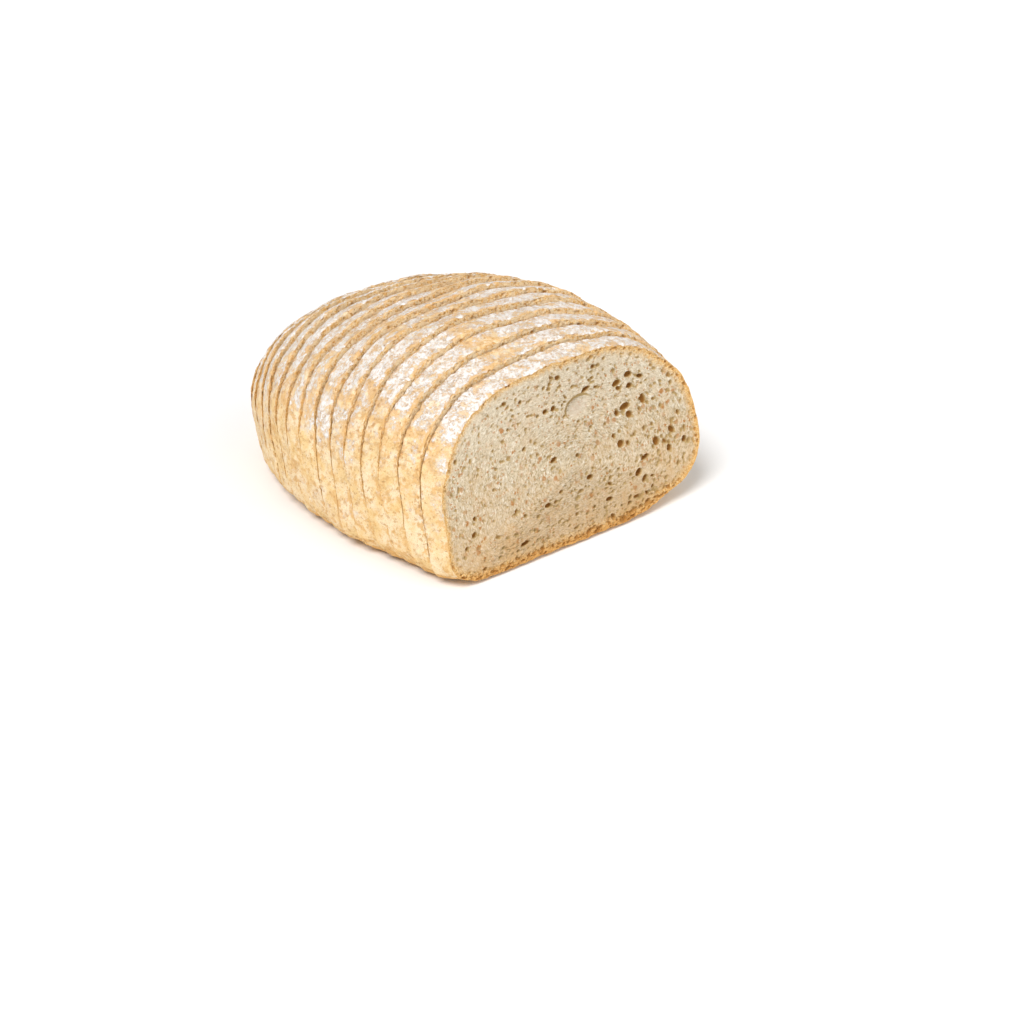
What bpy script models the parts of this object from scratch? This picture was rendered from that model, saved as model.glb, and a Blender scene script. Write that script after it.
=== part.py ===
"""A floured oval loaf of bread, cut into slices that still stand together in the loaf's own shape.

The first slice shows its cut face towards -Y, and an uncut heel closes the far end. Every slice
leans back on the edge of its bottom crust, and the row drifts to the left as it goes back. The
origin is on the surface that the loaf stands on, below the middle of the whole. Metres, +Z up.
"""

import math
import random

import bmesh
import bpy
import numpy as np
from mathutils import Matrix, Vector

# The loaf before it was cut
LOAF_WIDTH = 0.183
LOAF_HEIGHT = 0.107
LOAF_LENGTH = 0.1925
WIDEST_PLACE = 0.059  # distance of the widest section behind the first cut
FRONT_NARROWING = 0.11  # share of the width and height that the first cut has lost
END_WIDTH_POWER = 2.22  # how squarely the far end closes, seen from above
END_HEIGHT_POWER = 2.0  # the same, seen from the side

# Its cross-section: a dome over two bottom corners, the left one sharper than the right
SHOULDER = 0.35  # height of the widest place, as a share of the whole height
DOME_POWER = 2.45
LEFT_CORNER_POWER = 6.0
RIGHT_CORNER_POWER = 2.45
BOTTOM_SPREAD = 1.03  # how far the corners run past the flat bottom before they are cut off

# The cuts
SLICE_COUNT = 16
SLICE_PITCH = 0.01083
FRONT_LEAN = math.radians(13.0)
REAR_LEAN = math.radians(17.0)
LEANING_SLICES = 13  # cuts over which the lean grows from one to the other
SIDE_DRIFT = 0.137  # metres to the left for each metre back
EDGE_CRUSH = 0.001  # how deep the bottom edge of a leaning slice is pressed flat
CLOSED_GAP = 0.0004
LOOSE_GAP = 0.0003  # most that chance adds to a closed gap, at the left side or the top
SLICE_SHIFT = 0.0005  # most that a slice stands out of line sideways
OPEN_LEFT = {1: 0.0010, 2: 0.0016, 4: 0.0012, 7: 0.0010, 11: 0.0006}  # cuts open at the left
OPEN_TOP = {11: 0.0014}  # and at the top

# Lumps in the crust: height, times round the outline, metres along the loaf for one wave, phase
CRUST_LUMPS = (
    (0.00055, 2, 0.083, 0.4),
    (0.00045, 5, -0.061, 2.2),
    (0.00035, 9, 0.047, 4.1),
    (0.00025, 14, -0.029, 1.3),
)
LUMP_FREE_HEIGHT = 0.008  # below this the crust is pressed flat and has no lumps

# Larger holes in the first cut face: across, up, width, height, tilt in degrees
FACE_HOLES = (
    (0.005, 0.069, 0.015, 0.008, 10),
    (0.0125, 0.0755, 0.006, 0.0022, 15),
    (0.040, 0.0755, 0.0052, 0.0032, 0),
    (0.0475, 0.0725, 0.0042, 0.0022, -15),
    (0.032, 0.073, 0.006, 0.0032, 10),
    (0.040, 0.0695, 0.0042, 0.003, -10),
    (0.0475, 0.0605, 0.0036, 0.0058, 15),
    (0.0355, 0.0598, 0.007, 0.0036, 5),
    (0.0300, 0.0415, 0.0046, 0.0042, 0),
    (0.053, 0.036, 0.004, 0.0052, 10),
    (0.061, 0.030, 0.0034, 0.0042, 20),
    (0.0445, 0.030, 0.0055, 0.0028, 15),
    (-0.0125, 0.046, 0.0046, 0.0026, 20),
    (0.0185, 0.0155, 0.0046, 0.0024, 0),
    (-0.0365, 0.0098, 0.006, 0.0024, 10),
)
HOLLOW_DEPTH = 0.0028  # of the first hole in the list, a wide shallow blister
HOLE_DEPTH = 0.0022
HOLE_SIDES = 8
HOLE_RINGS = 5

# Fineness of the solids
OUTLINE_POINTS = 64
FINE_POINTS = 1440
CRUST_ROWS = 3
HEEL_ROWS = 7
HEEL_TIP = math.radians(86.0)  # the last ring of the heel, as an angle round its dome

CRUST_COLOUR = (0.80, 0.58, 0.30, 1.0)
CRUMB_COLOUR = (0.76, 0.70, 0.56, 1.0)


def fullness(along):
    """Share of the greatest width and height at a distance behind the first cut."""
    if along < WIDEST_PLACE:
        share = 1.0 - FRONT_NARROWING * ((WIDEST_PLACE - along) / WIDEST_PLACE) ** 2
        return share, share
    reach = min((along - WIDEST_PLACE) / (LOAF_LENGTH - WIDEST_PLACE), 1.0)
    wide = (1.0 - reach**END_WIDTH_POWER) ** (1.0 / END_WIDTH_POWER)
    high = (1.0 - reach**END_HEIGHT_POWER) ** (1.0 / END_HEIGHT_POWER)
    return wide, high


def smooth_outline(width, height):
    """The section of a smooth loaf as points (across, up), evenly spaced, anticlockwise from the
    right shoulder as seen from the front."""
    turn = np.linspace(0.0, 2.0 * np.pi, FINE_POINTS + 1)
    side, rise = np.cos(turn), np.sin(turn)
    corner = np.where(side > 0.0, RIGHT_CORNER_POWER, LEFT_CORNER_POWER)
    power = np.where(rise >= 0.0, DOME_POWER, corner)
    across = np.sign(side) * np.abs(side) ** (2.0 / power) * width / 2.0
    part = np.abs(rise) ** (2.0 / power)
    below = np.maximum(0.0, SHOULDER * (1.0 - BOTTOM_SPREAD * part))
    up = np.where(rise >= 0.0, SHOULDER + (1.0 - SHOULDER) * part, below) * height
    run = np.concatenate([[0.0], np.cumsum(np.hypot(np.diff(across), np.diff(up)))])
    places = np.linspace(0.0, run[-1], OUTLINE_POINTS, endpoint=False)
    return np.column_stack([np.interp(places, run, across), np.interp(places, run, up)])


def crust_outline(along):
    """The section at a distance behind the first cut, with the lumps of the crust."""
    wide, high = fullness(along)
    points = smooth_outline(LOAF_WIDTH * wide, LOAF_HEIGHT * high)
    step = np.roll(points, -1, axis=0) - np.roll(points, 1, axis=0)
    outward = np.column_stack([step[:, 1], -step[:, 0]])
    outward /= np.linalg.norm(outward, axis=1, keepdims=True)
    round_share = np.arange(OUTLINE_POINTS) / OUTLINE_POINTS
    lump = sum(
        depth * np.sin(2.0 * np.pi * (turns * round_share + along / wave) + phase)
        for depth, turns, wave, phase in CRUST_LUMPS
    )
    free = np.clip(points[:, 1] / LUMP_FREE_HEIGHT, 0.0, 1.0)
    return points + outward * (lump * free * min(wide, high))[:, None]


def cut_gaps():
    """Each cut's opening as (least, more at the left side, more at the top), by cut number."""
    chance = random.Random(5)
    gaps = {}
    for cut in range(1, SLICE_COUNT + 1):
        left = OPEN_LEFT.get(cut, chance.uniform(0.0, LOOSE_GAP))
        top = OPEN_TOP.get(cut, chance.uniform(0.0, LOOSE_GAP))
        gaps[cut] = (CLOSED_GAP, left, top)
    gaps[0] = gaps[SLICE_COUNT + 1] = (0.0, 0.0, 0.0)
    return gaps


def half_gap(gap, points):
    """Half of a cut's opening at points (across, up) of a cut face. It is wedge-shaped, so the
    face stays flat."""
    least, left, top = gap
    share_left = 0.5 - points[:, 0] / LOAF_WIDTH
    share_up = points[:, 1] / LOAF_HEIGHT
    return (least + left * share_left + top * share_up) / 2.0


def rest_on_floor(ring, lean, crush):
    """Presses flat what would reach below the floor, along the slice's own plane."""
    floor = (crush + ring[:, 1] * math.sin(lean)) / math.cos(lean)
    ring[:, 2] = np.maximum(ring[:, 2], floor)
    return ring


def bread_materials():
    """The browned crust and the pale crumb."""
    made = []
    for name, colour, roughness in (
        ("crust", CRUST_COLOUR, 0.75),
        ("crumb", CRUMB_COLOUR, 0.9),
    ):
        material = bpy.data.materials.new(name)
        material.use_nodes = True
        shader = material.node_tree.nodes["Principled BSDF"]
        shader.inputs["Base Color"].default_value = colour
        shader.inputs["Roughness"].default_value = roughness
        shader.inputs["Metallic"].default_value = 0.0
        made.append(material)
    return made


def loft(name, rings, materials):
    """A closed solid through rings of equal length: crust round the side, crumb on the faces."""
    shape = bmesh.new()
    rows = [[shape.verts.new(point) for point in ring] for ring in rings]
    for front, back in zip(rows, rows[1:]):
        for i in range(len(front)):
            j = (i + 1) % len(front)
            shape.faces.new((front[i], front[j], back[j], back[i]))
    for row in (rows[0], rows[-1]):
        face = shape.faces.new(row)
        face.material_index = 1
    bmesh.ops.recalc_face_normals(shape, faces=shape.faces)
    bmesh.ops.triangulate(shape, faces=shape.faces)
    mesh = bpy.data.meshes.new(name)
    shape.to_mesh(mesh)
    shape.free()
    for material in materials:
        mesh.materials.append(material)
    made = bpy.data.objects.new(name, mesh)
    bpy.context.scene.collection.objects.link(made)
    return made


def stand(made, foot, lean):
    """Puts a slice on the floor at its foot, leaning back."""
    made.location = foot
    made.rotation_euler = (-lean, 0.0, 0.0)


def slice_rings(number, gaps):
    """The rings of one slice from its front face to its rear face. Y runs from minus the pitch to
    0 through the slice, and Z up along its cut."""
    rings = []
    for row in range(CRUST_ROWS + 1):
        share = row / CRUST_ROWS
        outline = crust_outline((number - 1 + share) * SLICE_PITCH)
        front = -SLICE_PITCH + half_gap(gaps[number - 1], outline)
        rear = -half_gap(gaps[number], outline)
        depth = front + (rear - front) * share
        drift = SIDE_DRIFT * SLICE_PITCH * (1.0 - share)
        rings.append(np.column_stack([outline[:, 0] + drift, depth, outline[:, 1]]))
    return rings


def heel_rings(gaps):
    """The rings of the heel, from its cut face round the dome that closes the loaf."""
    start = SLICE_COUNT * SLICE_PITCH
    length = LOAF_LENGTH - start
    first = math.asin((start - WIDEST_PLACE) / (LOAF_LENGTH - WIDEST_PLACE))
    rings = []
    for row in range(HEEL_ROWS + 1):
        angle = first + (HEEL_TIP - first) * row / HEEL_ROWS
        along = WIDEST_PLACE + (LOAF_LENGTH - WIDEST_PLACE) * math.sin(angle)
        outline = crust_outline(along)
        depth = np.full(OUTLINE_POINTS, along - LOAF_LENGTH)
        if row == 0:
            depth = -length + half_gap(gaps[SLICE_COUNT], outline)
        drift = SIDE_DRIFT * (LOAF_LENGTH - along)
        rings.append(np.column_stack([outline[:, 0] + drift, depth, outline[:, 1]]))
    return rings


def hole_former(across, up, wide, high, tilt, deep):
    """A rounded lump, half in front of the first cut face, that leaves a hole in it."""
    shape = bmesh.new()
    bmesh.ops.create_uvsphere(shape, u_segments=HOLE_SIDES, v_segments=HOLE_RINGS, radius=1.0)
    place = (
        Matrix.Translation(Vector((across + SIDE_DRIFT * SLICE_PITCH, -SLICE_PITCH, up)))
        @ Matrix.Rotation(math.radians(-tilt), 4, "Y")
        @ Matrix.Diagonal(Vector((wide / 2.0, deep, high / 2.0, 1.0)))
    )
    bmesh.ops.transform(shape, matrix=place, verts=shape.verts)
    mesh = bpy.data.meshes.new("hole")
    shape.to_mesh(mesh)
    shape.free()
    made = bpy.data.objects.new("hole", mesh)
    bpy.context.scene.collection.objects.link(made)
    return made


def open_holes(made):
    """Opens the larger holes in the first cut face."""
    for number, hole in enumerate(FACE_HOLES):
        former = hole_former(*hole, HOLLOW_DEPTH if number == 0 else HOLE_DEPTH)
        cut = made.modifiers.new("hole", "BOOLEAN")
        cut.operation = "DIFFERENCE"
        cut.object = former
        bpy.context.view_layer.update()
        seen = made.evaluated_get(bpy.context.evaluated_depsgraph_get())
        holed = bpy.data.meshes.new_from_object(seen)
        made.modifiers.remove(cut)
        made.data = holed
        bpy.data.objects.remove(former)


def centre_over_origin(pieces):
    """Moves the whole row so that the middle of its box is above the origin."""
    bpy.context.view_layer.update()
    corners = [piece.matrix_world @ vertex.co for piece in pieces for vertex in piece.data.vertices]
    for axis in (0, 1):
        low = min(corner[axis] for corner in corners)
        high = max(corner[axis] for corner in corners)
        for piece in pieces:
            piece.location[axis] -= (low + high) / 2.0


def build_loaf():
    """All the slices and the heel, from front to back."""
    materials = bread_materials()
    gaps = cut_gaps()
    chance = random.Random(11)
    pieces = []
    foot_place = 0.0
    for number in range(1, SLICE_COUNT + 2):
        is_heel = number > SLICE_COUNT
        lean = FRONT_LEAN + (REAR_LEAN - FRONT_LEAN) * min((number - 1) / LEANING_SLICES, 1.0)
        thickness = LOAF_LENGTH - SLICE_COUNT * SLICE_PITCH if is_heel else SLICE_PITCH
        foot_place += thickness / math.cos(lean)
        reach_back = LOAF_LENGTH if is_heel else number * SLICE_PITCH
        sideways = -SIDE_DRIFT * reach_back + chance.uniform(-SLICE_SHIFT, SLICE_SHIFT)
        rings = heel_rings(gaps) if is_heel else slice_rings(number, gaps)
        crush = EDGE_CRUSH + (thickness - SLICE_PITCH) * math.sin(lean)
        rings = [rest_on_floor(ring, lean, crush) for ring in rings]
        name = "heel" if is_heel else f"slice_{number:02d}"
        made = loft(name, rings, materials)
        if number == 1:
            open_holes(made)
        stand(made, Vector((sideways, foot_place, -crush)), lean)
        pieces.append(made)
    centre_over_origin(pieces)


for old in list(bpy.data.objects):
    bpy.data.objects.remove(old)
build_loaf()
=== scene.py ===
import math
import random

import bpy
import numpy as np
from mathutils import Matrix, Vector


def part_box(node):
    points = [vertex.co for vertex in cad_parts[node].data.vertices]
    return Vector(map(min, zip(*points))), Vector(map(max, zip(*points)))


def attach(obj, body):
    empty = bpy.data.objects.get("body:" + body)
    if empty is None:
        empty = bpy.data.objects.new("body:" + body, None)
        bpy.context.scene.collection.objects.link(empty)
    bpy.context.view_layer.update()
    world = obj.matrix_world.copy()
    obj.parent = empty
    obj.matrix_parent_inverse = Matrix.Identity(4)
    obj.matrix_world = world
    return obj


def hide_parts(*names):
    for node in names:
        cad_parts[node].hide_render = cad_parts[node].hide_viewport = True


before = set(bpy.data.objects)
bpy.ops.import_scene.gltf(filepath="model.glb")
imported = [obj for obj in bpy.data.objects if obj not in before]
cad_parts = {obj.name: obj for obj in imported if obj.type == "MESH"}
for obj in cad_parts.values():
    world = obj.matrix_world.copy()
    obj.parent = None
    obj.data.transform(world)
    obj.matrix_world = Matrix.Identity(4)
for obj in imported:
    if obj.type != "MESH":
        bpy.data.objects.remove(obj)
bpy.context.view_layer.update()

# The front slice, which shows the loaf's open inside. Its crumb is soft wheat bread with pores of
# every size, and a thin baked crust runs round it, dusted with flour before it went in the oven.
# It was sawn off on both faces and leans back against the next slice.

LOAF_WIDTH = 0.183
LOAF_HEIGHT = 0.107
LOAF_LENGTH = 0.1925
WIDEST_PLACE = 0.059
FRONT_NARROWING = 0.11
END_WIDTH_POWER = 2.22
END_HEIGHT_POWER = 2.0
SHOULDER = 0.35
DOME_POWER = 2.45
LEFT_CORNER_POWER = 6.0
RIGHT_CORNER_POWER = 2.45
BOTTOM_SPREAD = 1.03
FINE_TURNS = 2880
OUTLINE_STEPS = 256  # the outward direction is taken over this share of the way round
CRUST_LUMPS = (  # depth, turns round the section, length along the loaf, and phase
    (0.00055, 2, 0.083, 0.4),
    (0.00045, 5, -0.061, 2.2),
    (0.00035, 9, 0.047, 4.1),
    (0.00025, 14, -0.029, 1.3),
)
LUMP_FREE_HEIGHT = 0.008  # the lumps fade out below this height
BOTTOM_ZONE = 0.0015  # below this height the outline counts as the flat bottom
SLICE_COUNT = 16
SLICE_PITCH = 0.01083


def fullness(along):
    """Share of the greatest width and height at a distance behind the first cut."""
    if along < WIDEST_PLACE:
        share = 1.0 - FRONT_NARROWING * ((WIDEST_PLACE - along) / WIDEST_PLACE) ** 2
        return share, share
    reach = min((along - WIDEST_PLACE) / (LOAF_LENGTH - WIDEST_PLACE), 1.0)
    wide = (1.0 - reach**END_WIDTH_POWER) ** (1.0 / END_WIDTH_POWER)
    high = (1.0 - reach**END_HEIGHT_POWER) ** (1.0 / END_HEIGHT_POWER)
    return wide, high


def crust_outline(along, count, bottom_fineness):
    """The loaf's section at a distance behind the first cut, as points (across, up) and the
    outward direction at each. The flat bottom gets fewer points where its fineness is below 1."""
    wide, high = fullness(along)
    turn = np.linspace(0.0, 2.0 * np.pi, FINE_TURNS + 1)
    side = np.cos(turn)
    rise = np.sin(turn)
    corner = np.where(side > 0.0, RIGHT_CORNER_POWER, LEFT_CORNER_POWER)
    power = np.where(rise >= 0.0, DOME_POWER, corner)
    across = np.sign(side) * np.abs(side) ** (2.0 / power) * LOAF_WIDTH * wide / 2.0
    part = np.abs(rise) ** (2.0 / power)
    below = np.maximum(0.0, SHOULDER * (1.0 - BOTTOM_SPREAD * part))
    up = np.where(rise >= 0.0, SHOULDER + (1.0 - SHOULDER) * part, below) * LOAF_HEIGHT * high
    step = np.hypot(np.diff(across), np.diff(up))
    run = np.concatenate([[0.0], np.cumsum(step)])
    pace = np.where(up[1:] < BOTTOM_ZONE, bottom_fineness, 1.0)
    paced = np.concatenate([[0.0], np.cumsum(step * pace)])
    places = np.interp(np.linspace(0.0, paced[-1], count, endpoint=False), paced, run)
    points = np.column_stack([np.interp(places, run, across), np.interp(places, run, up)])
    reach = run[-1] / OUTLINE_STEPS
    ahead = (places + reach) % run[-1]
    behind = (places - reach) % run[-1]
    way = np.column_stack([np.interp(ahead, run, up), -np.interp(ahead, run, across)])
    way -= np.column_stack([np.interp(behind, run, up), -np.interp(behind, run, across)])
    way /= np.maximum(np.linalg.norm(way, axis=1, keepdims=True), 1e-12)
    lump = sum(
        depth * np.sin(2.0 * np.pi * (turns * places / run[-1] + along / wave) + phase)
        for depth, turns, wave, phase in CRUST_LUMPS
    )
    free = np.clip(points[:, 1] / LUMP_FREE_HEIGHT, 0.0, 1.0)
    return points + way * (lump * free * min(wide, high))[:, None], way


# Large numbers that scatter the places and the seed of the noise.
SCRAMBLE = (73856093, 19349663, 83492791, 668265263, 73244475, 19349669)


def cloud(points, size, seed):
    """Smooth noise between -1 and 1 at each point, with lumps of about the given size."""
    cell = points / size
    base = np.floor(cell).astype(np.int64)
    part = cell - base
    part = part * part * (3.0 - 2.0 * part)
    total = np.zeros(len(points))
    for corner in range(8):
        bits = np.array([corner & 1, (corner >> 1) & 1, (corner >> 2) & 1])
        spot = base + bits
        code = (spot[:, 0] * SCRAMBLE[0]) ^ (spot[:, 1] * SCRAMBLE[1]) ^ (spot[:, 2] * SCRAMBLE[2])
        code = (code ^ (seed * SCRAMBLE[3])) & 0xFFFFFFFF
        code = ((code ^ (code >> 15)) * SCRAMBLE[4]) & 0xFFFFFFFF
        code = ((code ^ (code >> 13)) * SCRAMBLE[5]) & 0xFFFFFFFF
        height = ((code ^ (code >> 16)) & 0xFFFF) / 0xFFFF
        total += np.prod(np.where(bits == 1, part, 1.0 - part), axis=1) * height
    return total * 2.0 - 1.0


SKIN_INSET = 0.0004  # how far the detailed crust lies inside the plain solid
SKIN_PROUD = 0.00035  # how far the highest places of the skin stand out again
DIMPLE_DEPTH = 0.00020
DIMPLE_SIZE = 0.0075
WRINKLE_DEPTH = 0.00018
WRINKLE_SIZE = 0.0030
FINE_WRINKLE_DEPTH = 0.00016
FINE_WRINKLE_SIZE = 0.0016
CRACK_DEPTH = 0.00040
CRACK_SPACING = 0.0052
CRACK_NARROWNESS = 7.0
CRAG_DEPTH = 0.0012
CRAG_SIZE = 0.0042
CRAG_HEIGHT = 0.012  # the crags end at this height above the bottom


def skin_sink(where, way):
    """How far the baked skin lies off the smooth loaf: dimples, wrinkles and fine cracks, and
    crags along the bottom edge."""
    dimples = DIMPLE_DEPTH * cloud(where, DIMPLE_SIZE, 1)
    wrinkles = WRINKLE_DEPTH * cloud(where, WRINKLE_SIZE, 2)
    wrinkles = wrinkles + FINE_WRINKLE_DEPTH * cloud(where, FINE_WRINKLE_SIZE, 3)
    crack = np.clip(1.0 - np.abs(cloud(where, CRACK_SPACING, 4)) * CRACK_NARROWNESS, 0.0, 1.0)
    cracks = -CRACK_DEPTH * crack * np.clip(way[:, 1] * 1.5 + 0.4, 0.0, 1.0)
    low = np.clip(1.0 - where[:, 2] / CRAG_HEIGHT, 0.0, 1.0)
    crags = -CRAG_DEPTH * low * np.clip(cloud(where, CRAG_SIZE, 5) + 0.4, 0.0, 1.0)
    crags *= np.clip(1.3 + 1.2 * way[:, 1], 0.25, 1.0)  # strongest on what faces sideways
    return np.minimum(dimples + wrinkles + cracks + crags, SKIN_PROUD) - SKIN_INSET


FLOUR_DRIFTS = ((0.34, 0.021, 11), (0.24, 0.0085, 12))  # strength, size and seed of patches
FLOUR_EVERYWHERE = 0.12
FLOUR_FACING_UP = 0.48
FLOUR_HIGH_UP = 0.28


def flour_cover(where, way):
    """How much flour has stayed on the crust, from 0 to 1: most on what faces up."""
    drift = sum(strength * cloud(where, size, seed) for strength, size, seed in FLOUR_DRIFTS)
    height = where[:, 2] / LOAF_HEIGHT
    lasting = FLOUR_EVERYWHERE + FLOUR_FACING_UP * way[:, 1] + FLOUR_HIGH_UP * height
    return np.clip(lasting + drift, 0.0, 1.0)


TIGHT_GAP = 0.00002  # where two slices touch
LOOSE_GAP = 0.0004  # the most that an ordinary cut opens
# How far the cuts that sprang open have done so, at the left side and at the top.
OPEN_LEFT = {1: 0.0008, 2: 0.0011, 4: 0.0010, 7: 0.0010, 11: 0.0006}
OPEN_TOP = {11: 0.0014}
GAP_STRETCH = 0.021  # about how far a cut runs between an open and a closed place
GAP_SEED = 50
SPRUNG_CUT = (0.45, 1.4)  # how open a cut is on the whole, and how much that varies along it
CLOSED_CUT = (-0.4, 3.0)
LEFT_GAP_TOP = 0.88  # share of the height at which a gap at the left side has closed
LEFT_GAP_FADE = 0.28
LEAST_GAP = 0.15


def cut_openings():
    """How much each cut has sprung open, as (at the left side, at the top), by its number."""
    chance = random.Random(5)
    openings = {}
    for cut in range(1, SLICE_COUNT + 1):
        left = OPEN_LEFT.get(cut, chance.uniform(0.0, LOOSE_GAP))
        top = OPEN_TOP.get(cut, chance.uniform(0.0, LOOSE_GAP))
        openings[cut] = (left, top)
    return openings


OPENINGS = cut_openings()


def half_gap(cut, points):
    """Half of a cut's opening at points (across, up) of a cut face. It opens and closes along the
    cut, because the soft slices touch in places."""
    if cut == 0:
        return np.zeros(len(points))
    left, top = OPENINGS[cut]
    where = np.column_stack([points[:, 0], np.full(len(points), cut * SLICE_PITCH), points[:, 1]])
    openness, change = SPRUNG_CUT if cut in OPEN_LEFT or cut in OPEN_TOP else CLOSED_CUT
    loose = np.clip(openness + change * cloud(where, GAP_STRETCH, GAP_SEED), 0.0, 1.0)
    share_up = points[:, 1] / LOAF_HEIGHT
    below_top = np.clip((LEFT_GAP_TOP - share_up) / LEFT_GAP_FADE, LEAST_GAP, 1.0)
    share_left = (0.5 - points[:, 0] / LOAF_WIDTH) * below_top
    return (TIGHT_GAP + (left * share_left + top * share_up) * loose) / 2.0


def stitched(outer, inner):
    """Faces between two closed rings of points, where the inner ring has as many points as the
    outer one or half as many."""
    after = np.roll(outer, -1)
    if len(inner) == len(outer):
        return [np.column_stack([outer, after, np.roll(inner, -1), inner])]
    start = outer[0::2]
    middle = outer[1::2]
    following = np.roll(inner, -1)
    return [
        np.column_stack([start, middle, inner]),
        np.column_stack([middle, following, inner]),
        np.column_stack([middle, np.roll(start, -1), following]),
    ]


SIDE_DRIFT = 0.137  # how far the row runs to the left, as a share of its length
EDGE_CRUSH = 0.001  # how much of a leaning slice's rear bottom edge is pressed flat


def row_start():
    """How far to the right the row starts, so that it runs in line through all the solids."""
    starts = []
    for number in range(1, SLICE_COUNT + 1):
        low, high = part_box(f"slice_{number:02d}")
        starts.append((low.x + high.x) / 2.0 + SIDE_DRIFT * (number - 0.5) * SLICE_PITCH)
    return float(np.mean(starts))


ROW_START = row_start()


GRAIN_STRETCH = (0.45, 3.0, 0.45)  # the grain's noise is longest across and up the slice
CREASE_ANGLE = math.radians(58.0)
FRONT_SAG = 0.1  # the front slice sags only this much
SAG_HEIGHT = 0.006  # below this the bottom of a leaning slice sags towards the floor
SAG_LUMPS = 0.005


class Bread:
    """Gathers the points, faces and surface values of one piece of bread."""

    def __init__(self):
        self.points = []
        self.places = []
        self.grains = []
        self.values = []
        self.faces = []
        self.kinds = []
        self.count = 0

    def add(self, points, places, cone=0.0, rind=0.0, hole=0.0, flour=0.0, bake=0.0):
        """Adds points with their values, and gives their numbers. Rind is the distance from the
        rim of a cut face, counted in depths of the baked rind there."""
        size = len(points)
        self.points.append(points)
        self.places.append(places)
        grain = places * GRAIN_STRETCH
        grain[:, 1] += cone
        self.grains.append(grain)
        spread = [np.broadcast_to(value, size) for value in (rind, hole, flour, bake)]
        self.values.append(np.column_stack(spread))
        numbers = np.arange(self.count, self.count + size)
        self.count += size
        return numbers

    def join(self, outer, inner, kind, turned):
        """Adds the faces between two rings, or between a ring and its middle point."""
        if len(inner) == 1:
            middle = np.full(len(outer), inner[0])
            new = [np.column_stack([outer, np.roll(outer, -1), middle])]
        else:
            new = stitched(outer, inner)
        for block in new:
            if turned:
                block = block[:, ::-1]
            self.faces.extend(block.tolist())
            self.kinds.extend([kind] * len(block))

    def piece(self, name, reach_back, thickness, lean, crush):
        """Makes the object, leaning back on the floor, over its solid and in line with the row."""
        points = np.concatenate(self.points)
        floor = (crush + points[:, 1] * math.sin(lean)) / math.cos(lean)
        points[:, 2] = np.maximum(points[:, 2], floor)
        depth = points[:, 1] * math.cos(lean) + points[:, 2] * math.sin(lean)
        height = points[:, 2] * math.cos(lean) - points[:, 1] * math.sin(lean) - crush
        sag = np.clip(0.8 + 0.6 * cloud(np.concatenate(self.places), SAG_LUMPS, 70), 0.0, 1.0)
        if name == "slice_01":
            sag *= FRONT_SAG
        height *= 1.0 - sag * np.clip(1.0 - points[:, 2] / SAG_HEIGHT, 0.0, 1.0)
        across = points[:, 0] + ROW_START - SIDE_DRIFT * reach_back
        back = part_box(name)[0].y + thickness * math.cos(lean)
        placed = np.column_stack([across, depth + back, height])
        mesh = bpy.data.meshes.new(name + "_bread")
        mesh.from_pydata(placed.tolist(), [], self.faces)
        mesh.materials.append(CRUST)
        mesh.materials.append(CRUMB)
        mesh.polygons.foreach_set("material_index", np.array(self.kinds, dtype=np.int32))
        for label, given in (("loaf_place", self.places), ("grain_place", self.grains)):
            layer = mesh.attributes.new(label, "FLOAT_VECTOR", "POINT")
            layer.data.foreach_set("vector", np.concatenate(given).astype(np.float32).ravel())
        values = np.concatenate(self.values).astype(np.float32)
        for column, label in enumerate(("rind", "hole", "flour", "bake")):
            layer = mesh.attributes.new(label, "FLOAT", "POINT")
            layer.data.foreach_set("value", values[:, column].copy())
        mesh.shade_smooth()
        mesh.set_sharp_from_angle(angle=CREASE_ANGLE)
        made = bpy.data.objects.new(name + "_bread", mesh)
        bpy.context.scene.collection.objects.link(made)
        return made


def hole_depth(points, holes):
    """Depth at points (across, up) of a cut face of the deepest hole that reaches each."""
    order = np.argsort(points[:, 0])
    sorted_across = points[order, 0]
    deep = np.zeros(len(points))
    for across, up, wide, high, tilt, depth in holes:
        reach = max(wide, high) / 2.0
        first, last = np.searchsorted(sorted_across, (across - reach, across + reach))
        near = order[first:last]
        x = points[near, 0] - across
        z = points[near, 1] - up
        turn = math.radians(tilt)
        along = (x * math.cos(turn) + z * math.sin(turn)) / (wide / 2.0)
        beside = (z * math.cos(turn) - x * math.sin(turn)) / (high / 2.0)
        inside = np.clip(1.0 - along**2 - beside**2, 0.0, 1.0)
        deep[near] = np.maximum(deep[near], depth * np.sqrt(inside))
    return deep


PORE_TILT = 22.0  # how far pores turn away from the crust's direction, in degrees
PORE_FLATNESS = (0.4, 0.85)
COARSER_RIGHT = 0.4
COARSE_REACH = 0.08


def scattered_pores(rim, centre, number, seed, shares, median, spread, most, deep):
    """Pores over a cut face, stretched along the nearest crust and larger towards the right.
    Shares are how far out from the middle they lie, at least and at most."""
    chance = random.Random(seed)
    pores = []
    for _ in range(number):
        spot = chance.randrange(len(rim))
        share = math.sqrt(chance.uniform(shares[0] ** 2, shares[1] ** 2))
        x, z = centre + (rim[spot] - centre) * share
        ahead = rim[(spot + 5) % len(rim)] - rim[spot]
        tilt = math.degrees(math.atan2(ahead[1], ahead[0])) + chance.gauss(0.0, PORE_TILT)
        coarse = 1.0 + COARSER_RIGHT * max(0.0, x / COARSE_REACH)
        wide = min(chance.lognormvariate(math.log(median), spread), most) * coarse
        high = wide * chance.uniform(*PORE_FLATNESS)
        pores.append((x, z, wide, high, tilt, deep * high * chance.uniform(0.5, 1.0)))
    return pores


FACE_CENTRE = 0.42  # height of the middle of a cut face, as a share of the slice's height


def face_centre(points):
    """The middle of a cut face, which its rings close in on."""
    return np.array([0.0, points[:, 1].max() * FACE_CENTRE])


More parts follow.
